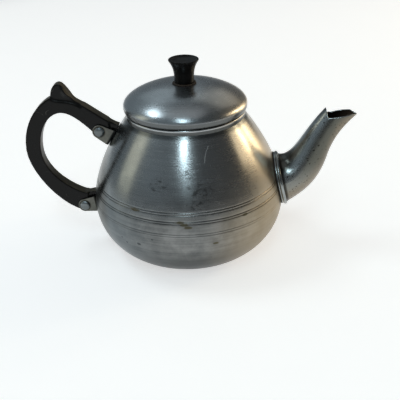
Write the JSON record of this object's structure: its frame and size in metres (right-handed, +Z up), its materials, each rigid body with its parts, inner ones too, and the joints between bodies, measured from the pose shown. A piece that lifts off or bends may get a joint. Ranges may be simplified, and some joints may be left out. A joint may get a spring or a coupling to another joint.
{
  "type": "teapot",
  "caption": "Round-bellied spun aluminium teapot with a beaked spout, a black loop handle on riveted brackets and a lift-off domed lid with a flared black knob.",
  "frame": {"origin": "centre of the flat base, on the axis of the pot", "axes": "+Z up along the pot's axis, +X towards the spout, -X towards the handle, Y across the pot"},
  "size_m": [0.2398, 0.14, 0.1438],
  "materials": {
    "spun_aluminium": "worn satin, fine turned lines, grey oxide",
    "bright_aluminium": "worn polish with small pits",
    "sheet_aluminium": "dull sheet",
    "rivet_aluminium": "satin",
    "black_phenolic": "worn gloss",
    "brass": "turned",
    "brown_fibre": "tea-stained vulcanised fibre",
    "plated_steel": "dull plating"
  },
  "bodies": {
    "pot": {"pot_body": "spun_aluminium", "spout": "bright_aluminium", "spout_collar": "bright_aluminium", "handle": "black_phenolic", "upper_bracket": "sheet_aluminium", "lower_bracket": "sheet_aluminium", "upper_cross_rivet": "rivet_aluminium", "lower_cross_rivet": "rivet_aluminium", "upper_wall_rivets": "rivet_aluminium", "lower_wall_rivets": "rivet_aluminium"},
    "lid": {"lid_dome": "spun_aluminium", "lid_locating_rim": "sheet_aluminium", "knob": "black_phenolic", "knob_insert": "brass", "knob_washer": "brown_fibre", "knob_screw": "plated_steel", "knob_inner_washer": "plated_steel"}
  },
  "joints": [
    {"name": "lid_lift", "type": "slide", "parent": "pot", "child": "lid", "axis": [0, 0, 1], "range_m": [0, 0.04]}
  ]
}
